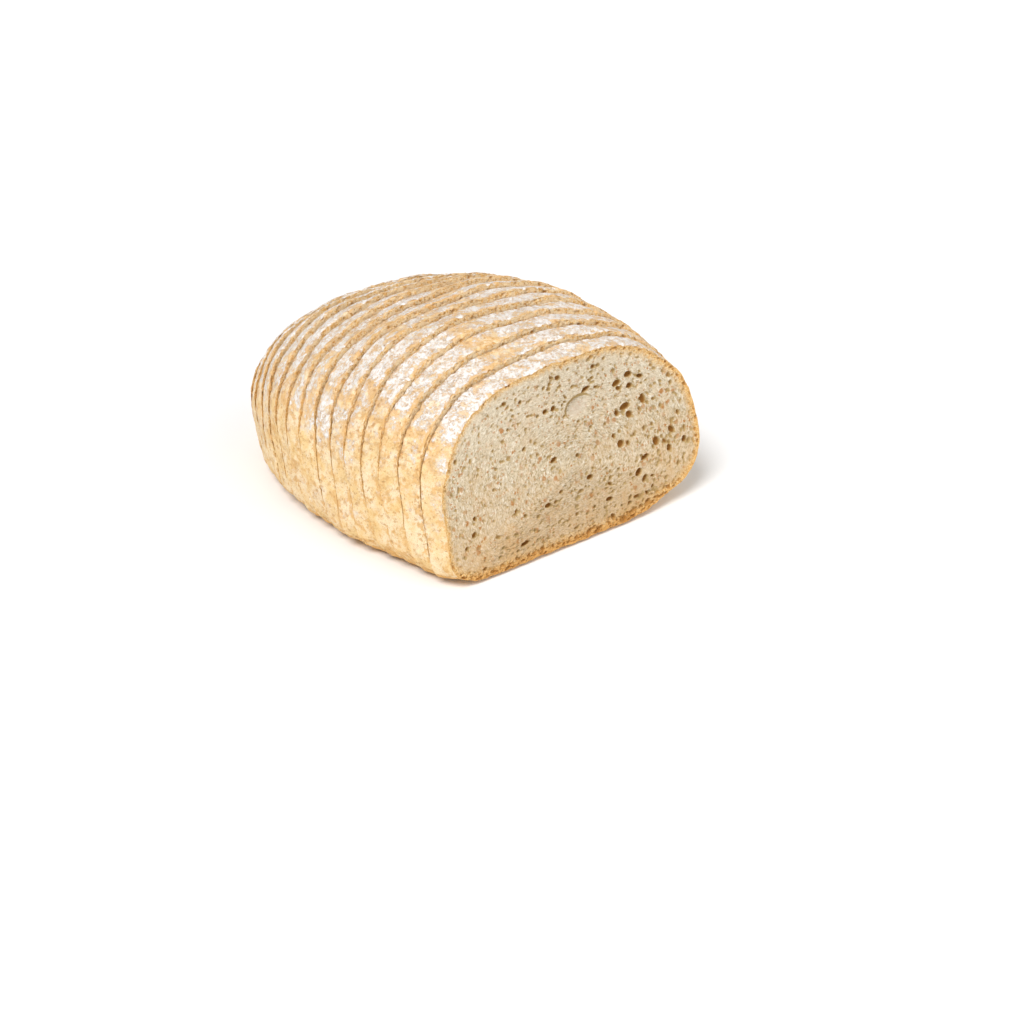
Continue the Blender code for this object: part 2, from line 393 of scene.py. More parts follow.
THIN_RIND = 0.0016  # depth of the baked rind that shows on the front face
THICK_RIND = 0.0034
RIND_SPREAD = 0.0030  # how much deeper it is where the loaf baked hardest
RIND_SIDE = (0.8, 0.6)  # the upper right
LEFT_RIND = 0.0009
MIDDLE_RIND = 30.0  # counted in rind depths, so far inside that no crust shows
SMALLEST_RING = 0.004  # as a share of the rim, next to the middle point
HOLE_SHADE_DEPTH = 0.0014  # a hole this deep is painted fully dark, as shade
CRUMB_LUMPS = 0.00018
BLISTER = (0.0065, 0.0685, 0.0175, 0.0115, 14)  # across, up, width, height and tilt in degrees
BLISTER_DEPTH = 0.0030
BLISTER_LIP = 0.0016  # width of the crescent of painted shade at its upper left
CONE = 0.06  # the crumb's grain runs round the face, as if on a cone of this depth


def cut_face(bread, rim, rim_ring, cut, thickness, steps, holes, blister=False):
    """Closes one cut face of a slice with rings of crumb from its rim to its middle. The front
    face lies at minus the slice's thickness, and the rear face has none. The hole value of the
    crumb is painted shade: it rises with a hole's depth to 1 in a deep hole, it is 0 on the plain
    face, it holds the painted shade of the blister's crescent, and it is below 0 on the smooth
    blister."""
    points, way, along, drift = rim
    centre = face_centre(points)
    reach = np.einsum("ij,ij->i", points - centre, way)
    sides = np.clip(way @ RIND_SIDE, 0.0, 1.0)
    baked = THIN_RIND if blister else THICK_RIND
    baked = baked + RIND_SPREAD * np.maximum(sides**1.5, -way[:, 1])
    baked += LEFT_RIND * np.clip(-way[:, 0], 0.0, 1.0)
    widest = reach.max()
    flats = []
    rinds = []
    shares = []
    pick = 1
    halved_at = 1.0
    for step in steps:
        share = 1.0 - step / widest
        if share < SMALLEST_RING:
            break
        if share < halved_at * 0.5 and (len(points) // pick) % 2 == 0:
            pick *= 2
            halved_at = share
        flats.append(centre + (points[::pick] - centre) * share)
        rinds.append((1.0 - share) * (reach / baked)[::pick])
        shares.append(np.full(len(flats[-1]), share))
    flats.append(centre[None, :])
    rinds.append(np.array([MIDDLE_RIND]))
    shares.append(np.array([0.0]))
    flat = np.concatenate(flats)
    rind = np.concatenate(rinds)
    cone = (1.0 - np.concatenate(shares)) * CONE
    where = np.column_stack([flat[:, 0], np.full(len(flat), along), flat[:, 1]])
    sunk = hole_depth(flat, holes)
    # The deeper a hole, the darker it is painted, as shade.
    dark = np.clip((sunk - 0.0001) / HOLE_SHADE_DEPTH, 0.0, 1.0)
    settle = np.clip(rind / 0.6, 0.0, 1.0)
    rough = CRUMB_LUMPS + 0.00016 * cloud(where, 0.0024, 31) + 0.00012 * cloud(where, 0.0012, 32)
    rough += 0.00022 * np.clip(1.6 - rind, 0.0, 1.0) * cloud(where, 0.0017, 33)
    if blister:
        # It is deep at its upper left, with a crescent of painted shade there, and runs out at its
        # lower right.
        hollow = hole_depth(flat, [(*BLISTER, BLISTER_DEPTH)])
        rough *= 1.0 - np.clip(hollow / 0.0005, 0.0, 0.8)
        across, up, *form = BLISTER
        lit = hole_depth(flat, [(across + BLISTER_LIP, up - BLISTER_LIP, *form, 1.0)])
        way_over = (flat[:, 0] - across - flat[:, 1] + up) / form[0]
        steep = np.clip(0.65 - 0.8 * way_over, 0.0, 1.0)
        sunk = np.where(hollow > 0.0, hollow * (1.25 - 0.5 * lit) * steep, sunk)
        # The crescent at the upper left is painted dark through the hole value, as shade.
        shade = np.clip(0.42 - 0.9 * lit, -0.5, 0.4) * np.clip(1.1 - 1.6 * way_over, 0.0, 1.0)
        dark = np.where(hollow > 0.0, shade, dark)
    into = rough * settle + sunk
    if thickness:
        depth = -thickness + half_gap(cut, flat) + into
    else:
        depth = -half_gap(cut, flat) - into
    placed = np.column_stack([flat[:, 0] + drift, depth, flat[:, 1]])
    low = np.clip(1.0 - flat[:, 1] / 0.006, 0.0, 1.0)
    dusted = np.clip(1.7 - 0.5 * rind, 0.0, 1.0)
    dusted *= np.clip((flat[:, 1] / LOAF_HEIGHT - 0.55) / 0.25, 0.0, 1.0)
    if blister:
        dusted *= 0.15
    outer = rim_ring
    start = 0
    for block in flats:
        part = slice(start, start + len(block))
        shown = (cone[part], rind[part], dark[part], dusted[part], low[part])
        ring = bread.add(placed[part], where[part], *shown)
        bread.join(outer, ring, 1, not thickness)
        outer = ring
        start += len(block)


EDGE_ROUND = 0.0011  # how far from a cut its rounded edge begins
EDGE_DROP = 0.00020  # how far the edge then drops
RAGGED_EDGE = 0.0009
REAR_EDGE_SHARE = 0.6  # how ragged the rear edge of a slice is, against its front edge
CHIPPED_EDGE = 0.0011  # how far bits broke back from the edges of a cut
FRONT_CHIPS = 0.25  # the front edge of the whole row keeps this share of its chips
REAR_CHIPS = 0.5
WORN_FRONT = 0.0016  # how far the flour is rubbed off behind the front edge of a slice
WORN_REAR = 0.0005
FRONT_WEAR = 0.45  # the front slice is rubbed only this much
TOP_BAKE = 0.55  # how far the top is toasted more than the sides
BAKED_BOTTOM = 0.013  # below this height the crust is baked darker
FIRST_FAR_SLICE = 8  # from here back the upper edges grow rounder, because the loaf falls away
FAR_SLICES = 6  # and this many slices further back they are roundest
FAR_ROUND = 1.3
FAR_DROP = 0.0009
FAR_FLOUR = 0.18
FAR_UNWORN = 0.7


def build_slice(number, count, rows, bottom_fineness, front_steps, rear_steps, holes):
    """One slice as a closed mesh: the crust round it, then its front and rear cut faces."""
    bread = Bread()
    line = np.linspace(0.0, 1.0, rows + 1)
    shares = 0.55 * line + 0.45 * (1.0 - np.cos(np.pi * line)) / 2.0
    rings = []
    rims = []
    far = min(max((number - FIRST_FAR_SLICE) / FAR_SLICES, 0.0), 1.0)
    for share in shares:
        along = (number - 1 + share) * SLICE_PITCH
        points, way = crust_outline(along, count, bottom_fineness)
        where = np.column_stack([points[:, 0], np.full(count, along), points[:, 1]])
        edge_round = EDGE_ROUND * (1.0 + FAR_ROUND * far)
        near_edge = max(0.0, 1.0 - min(share, 1.0 - share) * SLICE_PITCH / edge_round)
        near_cut = number - 1 if share < 0.5 else number
        # An edge is worn where it faces up, and where its cut has opened.
        apart = np.clip(way[:, 1] * 1.5 - 0.25, 0.03, 1.0)
        apart = np.maximum(apart, np.clip(half_gap(near_cut, points) / 0.0003, 0.0, 1.0))
        ragged = 1.2 * cloud(where, 0.0017, 20 + number) + 0.6 * cloud(where, 0.0041, 40 + number)
        ragged = RAGGED_EDGE * np.clip(ragged, 0.0, 1.0) * (1.0 if share < 0.5 else REAR_EDGE_SHARE)
        drop = EDGE_DROP + FAR_DROP * far * np.clip(way[:, 1] * 2.0, 0.0, 1.0)
        sink = skin_sink(where, way) - near_edge * apart * (drop * near_edge + ragged)
        shaped = points + way * sink[:, None]
        shaped[:, 1] = np.maximum(shaped[:, 1], 0.0)
        front = -SLICE_PITCH + half_gap(number - 1, shaped)
        rear = -half_gap(number, shaped)
        drift = SIDE_DRIFT * SLICE_PITCH * (1.0 - share)
        # Bits broke back from the edge.
        broken = 1.3 * cloud(where, 0.0021, 80) + 0.7 * cloud(where, 0.0010, 81)
        chips = CHIPPED_EDGE * np.clip(broken, 0.0, 1.0) * apart * near_edge
        if number == 1:
            chips *= FRONT_CHIPS
        depth = front + (rear - front) * share + (chips if share < 0.5 else -REAR_CHIPS * chips)
        placed = np.column_stack([shaped[:, 0] + drift, depth, shaped[:, 1]])
        low = np.clip(1.0 - points[:, 1] / BAKED_BOTTOM, 0.0, 1.0)
        # The flour is rubbed off behind each edge, in an uneven strip.
        uneven = 1.0 + 0.9 * cloud(where, 0.0042, 60) + 0.5 * cloud(where, 0.0018, 61)
        worn = 1.0 - share * SLICE_PITCH / (WORN_FRONT * uneven + 0.0004)
        worn = np.maximum(worn, 1.0 - (1.0 - share) * SLICE_PITCH / (WORN_REAR * uneven + 0.0002))
        rubbed = np.clip(worn * 2.5, 0.0, 1.0) * np.clip(way[:, 1] * 1.6, 0.7, 1.0)
        rubbed *= np.clip(0.75 + 1.6 * cloud(where, 0.0055, 62), 0.0, 1.0)
        rubbed *= 1.0 - FAR_UNWORN * far
        if number == 1:
            rubbed *= FRONT_WEAR
        flour = (flour_cover(where, way) + FAR_FLOUR * far) * (1.0 - 0.5 * rubbed)
        high = TOP_BAKE * np.clip((points[:, 1] / LOAF_HEIGHT - 0.45) / 0.3, 0.0, 1.0)
        toasted = np.maximum(np.maximum(low, high), 0.8 * rubbed)
        rings.append(bread.add(placed, where, flour=flour, bake=toasted))
        rims.append((shaped, way, along, drift))
    for first, second in zip(rings, rings[1:]):
        bread.join(first, second, 0, True)
    pores = holes(rims[0])
    cut_face(bread, rims[0], rings[0], number - 1, SLICE_PITCH, front_steps, pores, number == 1)
    cut_face(bread, rims[-1], rings[-1], number, 0.0, rear_steps, [])
    return bread


FRONT_LEAN = math.radians(13.0)
REAR_LEAN = math.radians(17.0)
LEANING_SLICES = 13


def lean_of(number):
    """How far a slice leans back."""
    return FRONT_LEAN + (REAR_LEAN - FRONT_LEAN) * min((number - 1) / LEANING_SLICES, 1.0)


FACE_HOLES = (  # across, up, width, height and tilt in degrees
    (0.0125, 0.0755, 0.006, 0.0022, 15),
    (0.040, 0.0755, 0.0052, 0.0032, 0),
    (0.0475, 0.0725, 0.0042, 0.0022, -15),
    (0.032, 0.073, 0.006, 0.0032, 10),
    (0.040, 0.0695, 0.0042, 0.003, -10),
    (0.0475, 0.0605, 0.0036, 0.0058, 15),
    (0.0355, 0.0598, 0.007, 0.0036, 5),
    (0.0300, 0.0415, 0.0046, 0.0042, 0),
    (0.053, 0.036, 0.004, 0.0052, 10),
    (0.061, 0.030, 0.0034, 0.0042, 20),
    (0.0445, 0.030, 0.0055, 0.0028, 15),
    (-0.0125, 0.046, 0.0046, 0.0026, 20),
    (0.0185, 0.0155, 0.0046, 0.0024, 0),
    (-0.0365, 0.0098, 0.006, 0.0024, 10),
)
FACE_HOLE_DEPTH = 0.0023
PORES = (  # number, seed, share of the way out, middle size, spread, largest size and depth
    (2300, 41, (0.0, 0.97), 0.0013, 0.35, 0.0028, 0.6),
    (110, 42, (0.2, 0.94), 0.0026, 0.3, 0.0045, 0.85),
    (420, 43, (0.965, 1.0), 0.0011, 0.3, 0.002, 0.7),
)
BOTTOM_PITS = (900, 44, (0.90, 0.995), 0.0014, 0.35, 0.0028, 1.0)
BOTTOM_PITS_HEIGHT = 0.0075


def front_holes(rim):
    """The holes of the front face: pores of two sizes, pits in the cut crust, and the large holes
    in their own places."""
    points = rim[0]
    centre = face_centre(points)
    holes = []
    for sort in PORES:
        holes += scattered_pores(points, centre, *sort)
    pits = scattered_pores(points, centre, *BOTTOM_PITS)
    holes += [pit for pit in pits if pit[1] < BOTTOM_PITS_HEIGHT]
    return holes + [(*hole, FACE_HOLE_DEPTH) for hole in FACE_HOLES]


def value_node(tree, operation, first, second, third=None):
    """Arithmetic on values, any of which may be a plain number."""
    made = tree.nodes.new("ShaderNodeMath")
    made.operation = operation
    for socket, value in zip(made.inputs, (first, second, third)):
        if value is None:
            continue
        if isinstance(value, (int, float)):
            socket.default_value = value
        else:
            tree.links.new(value, socket)
    return made.outputs["Value"]


def noise_node(tree, vector, scale, detail=3.0, roughness=0.55, distortion=0.0):
    """A noise texture on the given coordinates."""
    made = tree.nodes.new("ShaderNodeTexNoise")
    made.inputs["Scale"].default_value = scale
    made.inputs["Detail"].default_value = detail
    made.inputs["Roughness"].default_value = roughness
    made.inputs["Distortion"].default_value = distortion
    tree.links.new(vector, made.inputs["Vector"])
    return made.outputs["Fac"]


def mask_node(tree, value, low, high):
    """A mask that goes smoothly from 0 at low to 1 at high."""
    made = tree.nodes.new("ShaderNodeMapRange")
    made.interpolation_type = "SMOOTHSTEP"
    tree.links.new(value, made.inputs["Value"])
    for label, number in (("From Min", low), ("From Max", high)):
        if isinstance(number, (int, float)):
            made.inputs[label].default_value = number
        else:
            tree.links.new(number, made.inputs[label])
    return made.outputs["Result"]


def blend_node(tree, mask, first, second):
    """A blend from the first colour to the second as the mask rises."""
    made = tree.nodes.new("ShaderNodeMix")
    made.data_type = "RGBA"
    tree.links.new(mask, made.inputs["Factor"])
    colours = [socket for socket in made.inputs if socket.type == "RGBA"]
    for socket, colour in zip(colours, (first, second)):
        if isinstance(colour, tuple):
            socket.default_value = colour
        else:
            tree.links.new(colour, socket)
    return [socket for socket in made.outputs if socket.type == "RGBA"][0]


def held(tree, name, output="Fac"):
    """What the mesh holds under a name: a value, or with Vector a place."""
    made = tree.nodes.new("ShaderNodeAttribute")
    made.attribute_name = name
    return made.outputs[output]


def wandering(tree, place, scale, amount):
    """A place moved a little by noise, so that what is drawn on it has uneven edges."""
    wander = tree.nodes.new("ShaderNodeTexNoise")
    wander.inputs["Scale"].default_value = scale
    tree.links.new(place, wander.inputs["Vector"])
    bend = tree.nodes.new("ShaderNodeVectorMath")
    bend.operation = "MULTIPLY_ADD"
    bend.inputs[1].default_value = (amount, amount, amount)
    tree.links.new(wander.outputs["Color"], bend.inputs[0])
    tree.links.new(place, bend.inputs[2])
    return bend.outputs["Vector"]


def flecks_group():
    """Small scattered flecks, such as bran or toasted specks. Reach is how far a fleck spreads
    in its cell, and Share is the share of the cells that have one."""
    tree = bpy.data.node_groups.new("flecks", "ShaderNodeTree")
    face = tree.interface
    face.new_socket("Place", in_out="INPUT", socket_type="NodeSocketVector")
    for label in ("Scale", "Reach", "Share"):
        face.new_socket(label, in_out="INPUT", socket_type="NodeSocketFloat")
    face.new_socket("Mask", in_out="OUTPUT", socket_type="NodeSocketFloat")
    given = tree.nodes.new("NodeGroupInput")
    put = tree.nodes.new("NodeGroupOutput")
    cells = tree.nodes.new("ShaderNodeTexVoronoi")
    tree.links.new(wandering(tree, given.outputs["Place"], 800.0, 0.0022), cells.inputs["Vector"])
    tree.links.new(given.outputs["Scale"], cells.inputs["Scale"])
    split = tree.nodes.new("ShaderNodeSeparateColor")
    tree.links.new(cells.outputs["Color"], split.inputs["Color"])
    chosen = value_node(tree, "LESS_THAN", split.outputs["Red"], given.outputs["Share"])
    edge = value_node(tree, "MULTIPLY", given.outputs["Reach"], 0.6)
    near = mask_node(tree, cells.outputs["Distance"], given.outputs["Reach"], edge)
    tree.links.new(value_node(tree, "MULTIPLY", chosen, near), put.inputs["Mask"])
    return tree


FLECKS = flecks_group()


def flecks(tree, place, scale, reach, share):
    """One use of the flecks, as a mask."""
    made = tree.nodes.new("ShaderNodeGroup")
    made.node_tree = FLECKS
    tree.links.new(place, made.inputs["Place"])
    for label, value in (("Scale", scale), ("Reach", reach), ("Share", share)):
        made.inputs[label].default_value = value
    return made.outputs["Mask"]


def relief_on(tree, shader, height, strength, distance):
    """Gives the shader a bump from a height."""
    bump = tree.nodes.new("ShaderNodeBump")
    bump.inputs["Strength"].default_value = strength
    bump.inputs["Distance"].default_value = distance
    tree.links.new(height, bump.inputs["Height"])
    tree.links.new(bump.outputs["Normal"], shader.inputs["Normal"])


GOLDEN_CRUST = (0.87, 0.615, 0.29, 1.0)
PALE_CRUST = (0.93, 0.75, 0.49, 1.0)
ORANGE_CRUST = (0.76, 0.44, 0.155, 1.0)
BASE_CRUST = (0.76, 0.41, 0.11, 1.0)
TOASTED_SPECK = (0.54, 0.25, 0.07, 1.0)
TOASTED_CRAG = (0.68, 0.33, 0.085, 1.0)
WHITE_FLOUR = (0.96, 0.925, 0.89, 1.0)
DUSTY_FLOUR = (0.94, 0.86, 0.79, 1.0)
CRUST_RELIEF = 0.0007


def crust_material():
    """Golden skin, tan along the bottom, with toasted specks, under patches of crackled flour."""
    material = bpy.data.materials.new("floured_crust")
    material.use_nodes = True
    tree = material.node_tree
    shader = tree.nodes["Principled BSDF"]
    place = held(tree, "loaf_place", "Vector")
    flour = held(tree, "flour")
    bake = held(tree, "bake")

    # The baked skin.
    mottle = mask_node(tree, noise_node(tree, place, 110.0, 4.0), 0.38, 0.62)
    skin = blend_node(tree, mottle, GOLDEN_CRUST, PALE_CRUST)
    mealy = noise_node(tree, place, 1500.0, 3.0, 0.7)
    mealy_mask = value_node(tree, "MULTIPLY", mask_node(tree, mealy, 0.50, 0.66), 0.65)
    skin = blend_node(tree, mealy_mask, skin, ORANGE_CRUST)
    warm_noise = noise_node(tree, place, 260.0, 6.0, 0.68)
    blotch = noise_node(tree, place, 75.0, 3.0, 0.6, 0.5)
    warm = value_node(tree, "MULTIPLY_ADD", bake, 0.19, warm_noise)
    warm = value_node(tree, "MULTIPLY_ADD", mask_node(tree, blotch, 0.45, 0.70), 0.10, warm)
    warm = mask_node(tree, warm, 0.52, 0.66)
    skin = blend_node(tree, value_node(tree, "MULTIPLY", warm, 0.85), skin, ORANGE_CRUST)
    split = tree.nodes.new("ShaderNodeSeparateXYZ")
    tree.links.new(place, split.inputs["Vector"])
    height = value_node(tree, "MULTIPLY_ADD", blotch, -0.012, split.outputs["Z"])
    base = value_node(tree, "MULTIPLY", mask_node(tree, height, 0.002, -0.003), 0.85)
    skin = blend_node(tree, base, skin, BASE_CRUST)
    crackle = tree.nodes.new("ShaderNodeTexVoronoi")
    crackle.feature = "DISTANCE_TO_EDGE"
    crackle.inputs["Scale"].default_value = 250.0
    tree.links.new(wandering(tree, place, 400.0, 0.0070), crackle.inputs["Vector"])
    cracked = mask_node(tree, noise_node(tree, place, 130.0, 3.0), 0.46, 0.60)
    cracks = mask_node(tree, crackle.outputs["Distance"], 0.09, 0.0)
    cracks = value_node(tree, "MULTIPLY", cracks, cracked)
    skin = blend_node(tree, value_node(tree, "MULTIPLY", cracks, 0.4), skin, ORANGE_CRUST)
    specks = flecks(tree, place, 330.0, 0.40, 0.17)
    specks = value_node(tree, "MAXIMUM", specks, flecks(tree, place, 700.0, 0.42, 0.18))
    specks = value_node(tree, "MULTIPLY", specks, value_node(tree, "MULTIPLY_ADD", bake, 0.35, 0.55))
    skin = blend_node(tree, specks, skin, TOASTED_SPECK)

    # The flour on it, in patches with broken edges.
    patch = mask_node(tree, noise_node(tree, place, 170.0, 8.0, 0.72, 0.2), 0.30, 0.70)
    spread = value_node(tree, "MULTIPLY_ADD", patch, 0.5, value_node(tree, "MULTIPLY", flour, 0.5))
    solid = mask_node(tree, spread, 0.585, 0.635)
    thin = value_node(tree, "MULTIPLY", mask_node(tree, spread, 0.42, 0.58), 0.35)
    lines = value_node(tree, "MULTIPLY_ADD", cracks, -0.5, 1.0)
    solid = value_node(tree, "MULTIPLY", solid, lines)
    dust = value_node(tree, "MAXIMUM", solid, thin)
    rubbed = mask_node(tree, noise_node(tree, place, 560.0, 5.0, 0.78), 0.42, 0.50)
    dust = value_node(tree, "MULTIPLY", dust, value_node(tree, "MULTIPLY_ADD", rubbed, 0.60, 0.40))
    film = value_node(tree, "MULTIPLY", flour, mask_node(tree, mealy, 0.66, 0.44))
    dust = value_node(tree, "MAXIMUM", dust, value_node(tree, "MULTIPLY", film, 0.26))
    tint = mask_node(tree, noise_node(tree, place, 240.0, 3.0), 0.42, 0.62)
    white = blend_node(tree, tint, WHITE_FLOUR, DUSTY_FLOUR)
    colour = blend_node(tree, dust, skin, white)
    pinholes = mask_node(tree, noise_node(tree, place, 1150.0, 4.0, 0.75), 0.575, 0.64)
    pinholes = value_node(tree, "MULTIPLY", pinholes, value_node(tree, "MULTIPLY", flour, 0.7))
    colour = blend_node(tree, pinholes, colour, TOASTED_CRAG)
    tree.links.new(colour, shader.inputs["Base Color"])
    tree.links.new(value_node(tree, "MULTIPLY_ADD", dust, 0.2, 0.72), shader.inputs["Roughness"])
    shader.inputs["Specular IOR Level"].default_value = 0.25
    smoothed = value_node(tree, "MULTIPLY_ADD", dust, -0.25, 1.0)
    relief = value_node(tree, "MULTIPLY_ADD", mealy, 0.35, warm_noise)
    relief = value_node(tree, "MULTIPLY", relief, smoothed)
    relief = value_node(tree, "MULTIPLY_ADD", dust, 0.45, relief)
    relief = value_node(tree, "MULTIPLY_ADD", specks, -0.35, relief)
    relief = value_node(tree, "MULTIPLY_ADD", cracks, -0.25, relief)
    relief = value_node(tree, "MULTIPLY_ADD", pinholes, -0.4, relief)
    relief_on(tree, shader, relief, 1.0, CRUST_RELIEF)
    return material


CRUST = crust_material()


BRIGHT_CRUMB_AND_PAINTED_LIGHT = (0.93, 0.83, 0.67, 1.0)
PALE_CRUMB = (0.77, 0.635, 0.44, 1.0)
GREY_PORE_SHADE = (0.45, 0.335, 0.18, 1.0)
WARM_CRUMB_AND_LOW_SHADE = (0.71, 0.45, 0.21, 1.0)
PORE_SHADE_OLIVE = (0.54, 0.37, 0.16, 1.0)
HOLE_SHADE_BROWN = (0.33, 0.145, 0.03, 1.0)
BRAN = (0.52, 0.22, 0.055, 1.0)
BLISTER_SKIN = (0.56, 0.465, 0.36, 1.0)
CUT_CRUST = (0.98, 0.71, 0.34, 1.0)
CUT_CRUST_DARK = (0.72, 0.35, 0.08, 1.0)
CUT_CRUST_OUTER = (0.78, 0.42, 0.13, 1.0)
BOTTOM_CRUST = (0.74, 0.31, 0.04, 1.0)
TOASTED_SPECK_AND_PIT_SHADE = (0.53, 0.24, 0.055, 1.0)
DUSTED_RIM = (0.98, 0.80, 0.54, 1.0)
CRUMB_RELIEF = 0.00075


def crumb_material():
    """Cream crumb with fine pores and bran, the smooth blister, and the tan ring of the crust cut
    through. Shade is painted into its pores, holes and pits and towards its bottom, and light onto
    its strands and towards its top."""
    material = bpy.data.materials.new("open_crumb")
    material.use_nodes = True
    tree = material.node_tree
    shader = tree.nodes["Principled BSDF"]
    place = held(tree, "loaf_place", "Vector")
    grain = held(tree, "grain_place", "Vector")
    rind = held(tree, "rind")
    hole = held(tree, "hole")
    bake = held(tree, "bake")

    # The open crumb. Its fine pores are painted grey, as shade, and its strands are pale and painted
    # lighter still, as highlight.
    pores = noise_node(tree, grain, 1700.0, 3.0, 0.7, 0.4)
    colour = blend_node(tree, mask_node(tree, pores, 0.36, 0.56), GREY_PORE_SHADE, PALE_CRUMB)
    strands = noise_node(tree, grain, 1100.0, 4.0, 0.7, 0.6)
    colour = blend_node(tree, mask_node(tree, strands, 0.50, 0.62), colour, BRIGHT_CRUMB_AND_PAINTED_LIGHT)
    warmth_and_low_shade = mask_node(tree, noise_node(tree, place, 60.0, 4.0, 0.7), 0.44, 0.66)
    split = tree.nodes.new("ShaderNodeSeparateXYZ")
    tree.links.new(place, split.inputs["Vector"])
    # Towards the bottom the crumb is warmer and darker, partly its own tone and partly painted shade;
    # towards the top it is painted lighter, as light.
    lower = mask_node(tree, split.outputs["Z"], 0.050, 0.0)
    warmth_and_low_shade = value_node(tree, "MULTIPLY_ADD", lower, 0.62, value_node(tree, "MULTIPLY", warmth_and_low_shade, 0.33))
    colour = blend_node(tree, warmth_and_low_shade, colour, WARM_CRUMB_AND_LOW_SHADE)
    upper = value_node(tree, "MULTIPLY", mask_node(tree, split.outputs["Z"], 0.045, 0.080), 0.28)
    colour = blend_node(tree, upper, colour, BRIGHT_CRUMB_AND_PAINTED_LIGHT)
    # Tiny pores, painted as olive flecks of shade, and sunk by the bump.
    small = flecks(tree, grain, 800.0, 0.36, 0.20)
    colour = blend_node(tree, value_node(tree, "MULTIPLY", small, 0.45), colour, PORE_SHADE_OLIVE)
    clusters = mask_node(tree, noise_node(tree, place, 90.0, 3.0), 0.40, 0.62)
    clusters = value_node(tree, "MULTIPLY_ADD", clusters, 0.7, 0.3)
    bran = flecks(tree, place, 250.0, 0.42, 0.24)
    bran = value_node(tree, "MAXIMUM", bran, flecks(tree, place, 560.0, 0.46, 0.30))
    bran = value_node(tree, "MULTIPLY", bran, clusters)
    colour = blend_node(tree, value_node(tree, "MULTIPLY", bran, 0.9), colour, BRAN)
    smooth = value_node(tree, "MULTIPLY", mask_node(tree, hole, 0.05, -0.48), 0.7)
    colour = blend_node(tree, smooth, colour, BLISTER_SKIN)
    # The holes are painted olive where shallow and brown where deep, as shade; so is the blister's
    # crescent.
    colour = blend_node(tree, mask_node(tree, hole, 0.0, 0.35), colour, PORE_SHADE_OLIVE)
    colour = blend_node(tree, mask_node(tree, hole, 0.35, 0.95), colour, HOLE_SHADE_BROWN)

    # The crust cut through, along the rim.
    ragged = noise_node(tree, place, 500.0, 5.0, 0.7)
    depth = value_node(tree, "MULTIPLY_ADD", ragged, -1.6, rind)
    ring = mask_node(tree, depth, 0.80, -0.70)
    mealy = noise_node(tree, place, 1300.0, 3.0, 0.7)
    rusk = blend_node(tree, mask_node(tree, mealy, 0.42, 0.58), CUT_CRUST_DARK, CUT_CRUST)
    rusk = blend_node(tree, value_node(tree, "MULTIPLY", bake, 0.8), rusk, BOTTOM_CRUST)
    colour = blend_node(tree, ring, colour, rusk)
    baked = value_node(tree, "MULTIPLY_ADD", bake, -0.5, depth)
    outer = mask_node(tree, baked, -0.25, -0.70)
    outer = value_node(tree, "MULTIPLY", outer, mask_node(tree, mealy, 0.66, 0.40))
    colour = blend_node(tree, outer, colour, CUT_CRUST_OUTER)
    dust = value_node(tree, "MULTIPLY", held(tree, "flour"), mask_node(tree, ragged, 0.60, 0.46))
    colour = blend_node(tree, value_node(tree, "MULTIPLY", dust, 0.7), colour, DUSTED_RIM)
    pits = flecks(tree, place, 400.0, 0.36, 0.22)
    pits = value_node(tree, "MAXIMUM", pits, flecks(tree, place, 900.0, 0.40, 0.18))
    pits = value_node(tree, "MULTIPLY", pits, value_node(tree, "MULTIPLY", ring, 0.7))
    # The hollows of pits in the cut crust are painted dark from the hole value, as shade.
    hollow = value_node(tree, "MULTIPLY", ring, 0.9)
    hollow = value_node(tree, "MULTIPLY", mask_node(tree, hole, 0.05, 0.5), hollow)
    pits = value_node(tree, "MAXIMUM", pits, hollow)
    colour = blend_node(tree, pits, colour, TOASTED_SPECK_AND_PIT_SHADE)
    tree.links.new(colour, shader.inputs["Base Color"])
    shader.inputs["Roughness"].default_value = 0.88
    shader.inputs["Specular IOR Level"].default_value = 0.2
    relief = value_node(tree, "MULTIPLY_ADD", small, -0.4, pores)
    relief = value_node(tree, "ADD", relief, strands)
    relief = value_node(tree, "MULTIPLY_ADD", pits, -0.8, relief)
    relief = value_node(tree, "MULTIPLY", relief, value_node(tree, "MULTIPLY_ADD", smooth, -0.8, 1.0))
    relief_on(tree, shader, relief, 1.0, CRUMB_RELIEF)
    return material


CRUMB = crumb_material()

REAR_STEPS = (0.001, 0.003, 0.008, 0.02, 0.05)  # how far inside the rim the rings of crumb lie
FRONT_POINTS = 832
FRONT_ROWS = 13
front_steps = np.arange(0.0007, 0.1, 0.00064)
front_bread = build_slice(1, FRONT_POINTS, FRONT_ROWS, 1.0, front_steps, REAR_STEPS, front_holes)
front_slice = front_bread.piece("slice_01", SLICE_PITCH, SLICE_PITCH, lean_of(1), EDGE_CRUSH)
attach(front_slice, "root")
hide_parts("slice_01")

# The slices behind it, from the second to the sixteenth, of the same bread. Each was sawn off on
# both faces and leans back against the next, so that its floured top slopes down to the front face
# of the next, whose rim of crust and a little crumb show above it.

SLICE_POINTS = 640
SLICE_ROWS = 15
BOTTOM_FINENESS = 0.25
RIM_PITS = 420
RIM_PIT_SORT = ((0.94, 1.0), 0.0012, 0.35, 0.0026, 0.4)


def rim_holes(rim):
    """Pits near the rim of a cut face, the only part of it that can be seen."""
    points = rim[0]
    centre = face_centre(points)
    seed = int(rim[2] * 100000)  # the rim's distance along the loaf
    return scattered_pores(points, centre, RIM_PITS, seed, *RIM_PIT_SORT)


